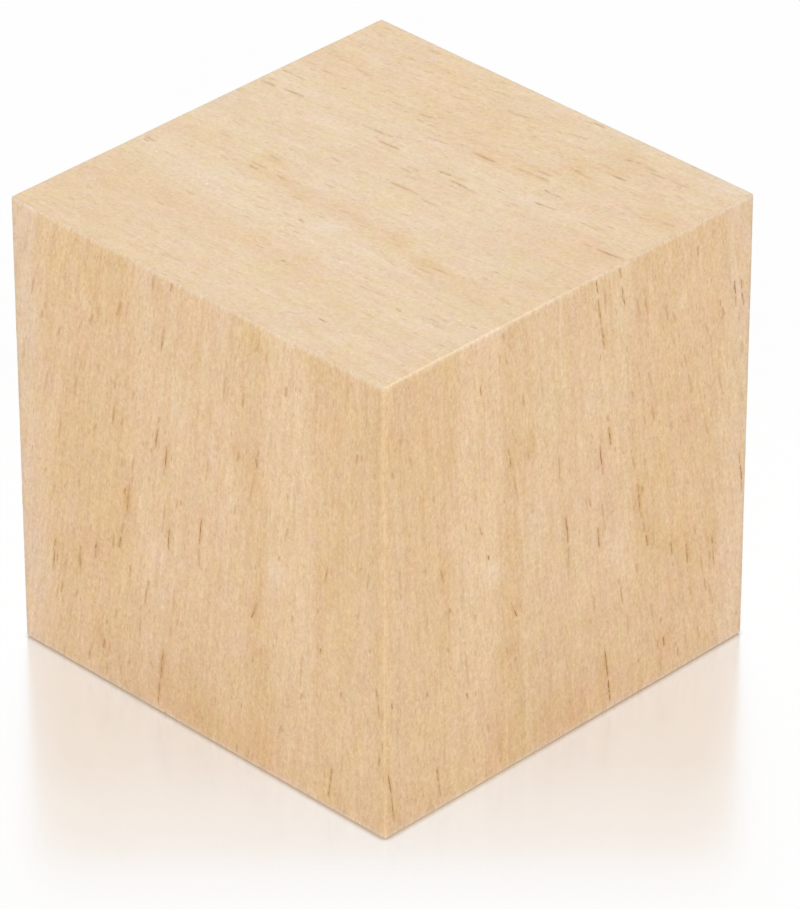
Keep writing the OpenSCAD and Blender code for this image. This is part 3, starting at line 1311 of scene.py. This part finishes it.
def wood_material(name, groups, settings, line=False):
    """Bare sanded wood, or the wood inside a vessel line."""
    material = bpy.data.materials.new(name)
    w = clear_wiring(material)
    position = w.node("ShaderNodeTexCoord").outputs["Object"]
    figure = w.group(groups["figure"], Position=position)
    where = {name: figure[name] for name in ("Across", "Down", "Level")}
    bands = w.group(groups["bands"], Turned=figure["Turned"], **where)
    turned_side = w.math("GREATER_THAN", figure["Turned"], figure["Level"])
    fibres = w.group(groups["fibres"], Turned=turned_side, **where)
    strays = w.group(groups["strays"], Turned=turned_side, **where)
    edges = w.group(
        groups["edges"],
        Position=position,
        Across=figure["Across"],
        Down=figure["Down"],
        Edge=figure["Edge"],
    )

    paleness = w.math("ADD", bands["Tone"], fibres["Tone"])
    tone = w.math("MULTIPLY_ADD", paleness, settings.contrast, settings.tone, clamp=True)
    colour = w.blend(tone, (*settings.tan, 1), (*settings.pale, 1))
    coolness = w.math("MULTIPLY_ADD", edges["Cool edge"], COOL_EDGE_STRENGTH, bands["Coolness"])
    colour = w.lighter(colour, coolness, COOL)
    # The painted sheen: the level faces are drawn towards a paler, flatter colour
    painted_sheen = w.times(edges["Cast"], LEVEL_SHEEN_SHARE)
    colour = w.blend(painted_sheen, colour, LEVEL_SHEEN)
    paleness = w.times(paleness, w.choose(figure["Level"], SIDE_PALER, 1.0))
    fine = w.times(fibres["Fine"], settings.fine_contrast)
    for strength, shares in (
        (paleness, PALER),
        (fibres["Blush"], BLUSH),
        (fibres["Sallow"], SALLOW),
        (fine, w.blend(figure["Level"], (*FINE, 1), (*LEVEL_FINE, 1))),
        (strays["Pale"], FLECK),
        (strays["Dark"], STRAY),
        # Painted shade, a painted glint and painted shade along the far edges
        (edges["Shade"], SHADE),
        (edges["Painted glint"], PAINTED_GLINT),
        (edges["Far edge shade"], FAR_EDGE_SHADE),
    ):
        colour = w.lighter(colour, strength, shares)
    if line:
        # The painted sheen of the level faces lies over the lines too
        inside = w.blend(painted_sheen, (*settings.vessel, 1), LEVEL_SHEEN)
        colour = line_colour(w, figure, fibres, colour, inside)

    shader = w.node("ShaderNodeBsdfPrincipled")
    w.plug(colour, shader.inputs["Base Color"])
    height = w.math("SUBTRACT", fibres["Fine"], strays["Dark"])
    rough = w.math("MULTIPLY_ADD", height, -FIBRE_GLOSS, settings.roughness)
    w.plug(rough, shader.inputs["Roughness"])
    bump = w.node("ShaderNodeBump")
    w.plug(height, bump.inputs["Height"])
    bump.inputs["Distance"].default_value = settings.relief
    w.plug(bump.outputs["Normal"], shader.inputs["Normal"])
    w.plug(shader.outputs[0], w.node("ShaderNodeOutputMaterial").inputs["Surface"])
    return material


class AddBlock(bpy.types.Operator):
    """Builds the sanded block, with its eased edges, vessel lines and finish"""

    bl_idname = "wooden_cube.add_block"
    bl_label = "Add the block"

    def execute(self, context):
        settings = context.scene.cube_block
        groups = {
            "figure": figure_group(),
            "bands": band_group(),
            "fibres": fibre_group(),
            "strays": stray_group(),
            "edges": edge_group(),
        }
        finish = context.scene.cube_wood
        wood = wood_material("sanded_wood", groups, finish)
        line = wood_material("vessel_line", groups, finish, line=True)
        shell = block_shell(settings)
        ease(shell, settings)
        block = mesh_object("sanded_block", shell, [wood, line])
        for spindles in cutters(settings):
            for face in spindles.faces:
                face.material_index = LINE_SLOT
            cut_away(block, mesh_object("spindles", spindles, [wood, line]))
        hollow(block.data, settings)
        lay_map(block.data)
        block.data.shade_smooth()
        block.data.set_sharp_from_angle(angle=SHARP_ANGLE)
        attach(block, "root")
        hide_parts("cube")
        return {"FINISHED"}


# ---------------------------------------------------------------------------
# Stage
# ---------------------------------------------------------------------------

# How strongly the floor reflects, from level with the block's middle, at 0, to this many
# millimetres before or behind it, at 1, and how rough the floor is
POLISH = [
    (0.0, 0.47), (0.40, 0.47), (0.56, 0.37), (0.71, 0.27), (0.82, 0.11), (0.93, 0.02), (1.0, 0.0),
]
POLISH_REACH = 30.0
FLOOR_ROUGHNESS = 0.20
# The floor's own colour, and the share of a seen place that is plain white instead
FLOOR_COLOUR = (0.85, 0.85, 0.85, 1)
PLAIN_WHITE = 0.93
# How far the floor lies under the block
FLOOR_GAP = 0.02 * MM
# The shade where the block touches the floor, how far it reaches, and its samples
CONTACT_SHADE = (0.60, 0.47, 0.345, 1)
CONTACT_REACH = 0.48 * MM
CONTACT_SAMPLES = 16
# How open a place is where its shade is full, beside a wall, and where it has none
SHADED = 0.45
OPEN = 0.95
WHITE = (1, 1, 1, 1)
# Both softboxes: their height above the horizon, their side and how far off they stand
SOFTBOX_ELEVATION = math.radians(25)
SOFTBOX_SIDE = 0.5
SOFTBOX_DISTANCE = 1.0
# The width of the camera's sensor in millimetres, and the nearest that it sees in metres
SENSOR_WIDTH = 36.0
NEAREST = 0.01


def floor_material():
    """White to look at, faintly polished about the block, and shaded where that touches."""
    material = bpy.data.materials.new("white_floor")
    w = clear_wiring(material)
    x, y, _ = w.separate(w.node("ShaderNodeTexCoord").outputs["Object"])
    forward = w.math("DIVIDE", w.math("ABSOLUTE", w.math("SUBTRACT", x, y)), math.sqrt(2) * MM)
    polish = w.curve(w.math("DIVIDE", forward, POLISH_REACH, clamp=True), POLISH)
    seen = w.seen()

    touch = w.node("ShaderNodeAmbientOcclusion", samples=CONTACT_SAMPLES)
    touch.inputs["Distance"].default_value = CONTACT_REACH
    light = w.rise(touch.outputs["AO"], SHADED, OPEN)
    glow = w.node("ShaderNodeEmission")
    w.plug(w.blend(light, CONTACT_SHADE, WHITE), glow.inputs["Color"])
    matt = w.node("ShaderNodeBsdfDiffuse")
    matt.inputs["Color"].default_value = FLOOR_COLOUR
    white = w.mixed(w.times(seen, PLAIN_WHITE), matt.outputs[0], glow.outputs[0])
    gloss = w.node("ShaderNodeBsdfAnisotropic")
    gloss.inputs["Color"].default_value = WHITE
    gloss.inputs["Roughness"].default_value = FLOOR_ROUGHNESS
    top = w.mixed(w.times(polish, seen), white, gloss.outputs[0])
    w.plug(top, w.node("ShaderNodeOutputMaterial").inputs["Surface"])
    return material


def add_floor(settings):
    """The white floor, just under the block."""
    plane = bmesh.new()
    bmesh.ops.create_grid(plane, x_segments=1, y_segments=1, size=settings.floor_size / 2)
    bmesh.ops.translate(plane, verts=plane.verts[:], vec=(0, 0, LOW.z - FLOOR_GAP))
    floor = mesh_object("floor", plane, [floor_material()])


def add_world(settings):
    """An even white sky: full white to look at, and dimmer as a light."""
    world = bpy.data.worlds.new("white_sky")
    w = clear_wiring(world)
    sky = w.node("ShaderNodeBackground")
    sky.inputs["Color"].default_value = WHITE
    w.plug(w.choose(w.seen(), settings.sky, 1.0), sky.inputs["Strength"])
    w.plug(sky.outputs[0], w.node("ShaderNodeOutputWorld").inputs["Surface"])
    bpy.context.scene.world = world


def add_softbox(name, azimuth, power):
    """A square lamp that faces the block from that side."""
    lamp = bpy.data.lights.new(name, "AREA")
    lamp.shape = "SQUARE"
    lamp.size = SOFTBOX_SIDE
    lamp.energy = power
    box = bpy.data.objects.new(name, lamp)
    towards = direction(azimuth, SOFTBOX_ELEVATION)
    box.location = CENTRE + towards * SOFTBOX_DISTANCE
    box.rotation_euler = towards.to_track_quat("Z", "Y").to_euler()
    box.visible_glossy = False
    bpy.context.scene.collection.objects.link(box)


def direction(azimuth, elevation):
    """Unit vector from the block towards that direction; azimuth 0 is the front."""
    level = math.cos(elevation)
    return Vector((math.sin(azimuth) * level, -math.cos(azimuth) * level, math.sin(elevation)))


def add_camera(settings):
    """The camera, looking down on the near corner."""
    lens = bpy.data.cameras.new("camera")
    lens.lens = settings.lens
    lens.sensor_width = SENSOR_WIDTH
    lens.clip_start = NEAREST
    camera = bpy.data.objects.new("camera", lens)
    back = direction(settings.azimuth, settings.elevation)
    turn = back.to_track_quat("Z", "Y").to_matrix() @ Matrix.Rotation(settings.roll, 3, "Z")
    target = CENTRE + turn.col[0] * settings.aside + turn.col[1] * settings.above
    camera.matrix_world = Matrix.Translation(target + back * settings.distance) @ turn.to_4x4()
    bpy.context.scene.collection.objects.link(camera)
    bpy.context.scene.camera = camera


class AddStage(bpy.types.Operator):
    """Sets up the white floor, the soft lamps and the camera"""

    bl_idname = "wooden_cube.add_stage"
    bl_label = "Add the stage"

    def execute(self, context):
        settings = context.scene.cube_stage
        context.scene.view_settings.view_transform = "Standard"
        add_floor(settings)
        add_world(settings)
        add_softbox("front_softbox", settings.azimuth, settings.softbox)
        add_softbox("back_softbox", settings.azimuth + math.pi, settings.softbox)
        add_camera(settings)
        return {"FINISHED"}


class CubePanel(bpy.types.Panel):
    """Builds the block and its stage from the sidebar"""

    bl_idname = "VIEW3D_PT_wooden_cube"
    bl_label = "Wooden cube"
    bl_space_type = "VIEW_3D"
    bl_region_type = "UI"
    bl_category = "Wooden cube"

    def draw(self, context):
        scene = context.scene
        for groups, operator in (
            ((scene.cube_block, scene.cube_wood), AddBlock),
            ((scene.cube_stage,), AddStage),
        ):
            box = self.layout.box()
            for settings in groups:
                for name in settings.bl_rna.properties.keys():
                    if name not in ("rna_type", "name"):
                        box.prop(settings, name)
            box.operator(operator.bl_idname)


CLASSES = (BlockSettings, WoodSettings, StageSettings, AddBlock, AddStage, CubePanel)


def register():
    """Makes the classes known to Blender, and hangs the settings on the scene."""
    for each in CLASSES:
        bpy.utils.register_class(each)
    bpy.types.Scene.cube_block = PointerProperty(type=BlockSettings)
    bpy.types.Scene.cube_wood = PointerProperty(type=WoodSettings)
    bpy.types.Scene.cube_stage = PointerProperty(type=StageSettings)


def unregister():
    """Takes the settings and the classes away again."""
    del bpy.types.Scene.cube_stage
    del bpy.types.Scene.cube_wood
    del bpy.types.Scene.cube_block
    for each in reversed(CLASSES):
        bpy.utils.unregister_class(each)


def main():
    """Builds everything through the operators."""
    register()
    bpy.ops.wooden_cube.add_block()
    bpy.ops.wooden_cube.add_stage()
    bpy.context.view_layer.update()


if __name__ == "__main__":
    main()
